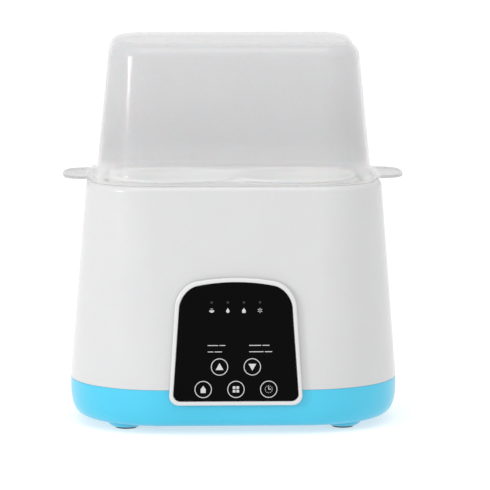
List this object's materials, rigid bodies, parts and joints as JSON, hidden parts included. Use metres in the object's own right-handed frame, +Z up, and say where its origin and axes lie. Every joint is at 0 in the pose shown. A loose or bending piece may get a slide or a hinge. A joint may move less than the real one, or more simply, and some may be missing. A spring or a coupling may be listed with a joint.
{
  "type": "bottle sterilizer",
  "caption": "Free-standing steam sterilizer and warmer for baby bottles, with a tapered housing, touch panel, lift-out basket and tall frosted lid.",
  "frame": {"origin": "on the surface that it stands on, under the middle of the body", "axes": "+Z up, +X to the right as seen from the front, -Y towards the user, out of the control panel"},
  "size_m": [0.2056, 0.1451, 0.2312],
  "materials": {
    "white_housing": "glossy injection-moulded ABS",
    "white_bezel": "glossy moulded ABS",
    "blue_shell": "glossy moulded ABS, sky blue",
    "frosted_lid": "frosted translucent polypropylene",
    "black_lens": "polished acrylic with printing on the back",
    "tank_plastic": "satin polypropylene",
    "basket_plastic": "satin polypropylene",
    "silicone": "soft translucent silicone",
    "dark_rubber": "matt moulded rubber",
    "cast_aluminium": "smooth cast, satin",
    "zinc_steel": "bright zinc plate",
    "board_green": "solder mask over glass-epoxy",
    "component_dark": "moulded epoxy",
    "component_yellow": "tape and dipped film",
    "terminal_white": "moulded nylon",
    "led_clear": "clear epoxy",
    "wire_red": "silicone insulation",
    "wire_blue": "silicone insulation",
    "wire_grey": "PVC insulation"
  },
  "bodies": {
    "body": {"base_shell": "blue_shell", "housing": "white_housing", "water_tank": "tank_plastic", "tank_seal": "silicone", "heating_plate": "cast_aluminium", "plate_gasket": "silicone", "ptc_heater": "cast_aluminium", "heater_clamp": "zinc_steel", "thermal_fuse": "zinc_steel", "temperature_sensor": "component_dark", "power_board": "board_green", "transformer": "component_yellow", "relay": "component_dark", "filter_capacitor": "component_yellow", "buzzer": "component_dark", "mains_terminal": "terminal_white", "heater_lead_live": "wire_red", "heater_lead_neutral": "wire_blue", "sensor_lead": "wire_grey", "display_ribbon": "wire_grey", "panel_bezel": "white_bezel", "touch_lens": "black_lens", "display_board": "board_green", "digit_display": "component_dark", "cord_gland": "dark_rubber", "foot_pad_front_left": "dark_rubber", "foot_pad_front_right": "dark_rubber", "foot_pad_rear_right": "dark_rubber", "foot_pad_rear_left": "dark_rubber", "base_screw_front_left": "zinc_steel", "base_screw_front_right": "zinc_steel", "base_screw_rear_right": "zinc_steel", "base_screw_rear_left": "zinc_steel", "clamp_nut_1": "zinc_steel", "clamp_nut_2": "zinc_steel", "tank_pillar_1": "tank_plastic", "tank_pillar_2": "tank_plastic", "tank_pillar_3": "tank_plastic", "tank_pillar_4": "tank_plastic", "board_screw_1": "zinc_steel", "board_screw_2": "zinc_steel", "board_screw_3": "zinc_steel", "board_screw_4": "zinc_steel", "display_screw_1": "zinc_steel", "display_screw_2": "zinc_steel", "display_screw_3": "zinc_steel", "display_screw_4": "zinc_steel", "status_led_1": "led_clear", "status_led_2": "led_clear", "status_led_3": "led_clear", "status_led_4": "led_clear", "touch_spring_1": "zinc_steel", "touch_spring_2": "zinc_steel", "touch_spring_3": "zinc_steel", "touch_spring_4": "zinc_steel", "touch_spring_5": "zinc_steel"},
    "basket": {"basket_deck": "basket_plastic", "bottle_cup_left": "basket_plastic", "bottle_cup_right": "basket_plastic"},
    "lid": {"lid": "frosted_lid"}
  },
  "joints": [
    {"name": "basket_lift", "type": "slide", "parent": "body", "child": "basket", "axis": [0, 0, 1], "range_m": [0, 0.105]},
    {"name": "lid_lift", "type": "slide", "parent": "basket", "child": "lid", "axis": [0, 0, 1], "range_m": [0, 0.1]}
  ]
}
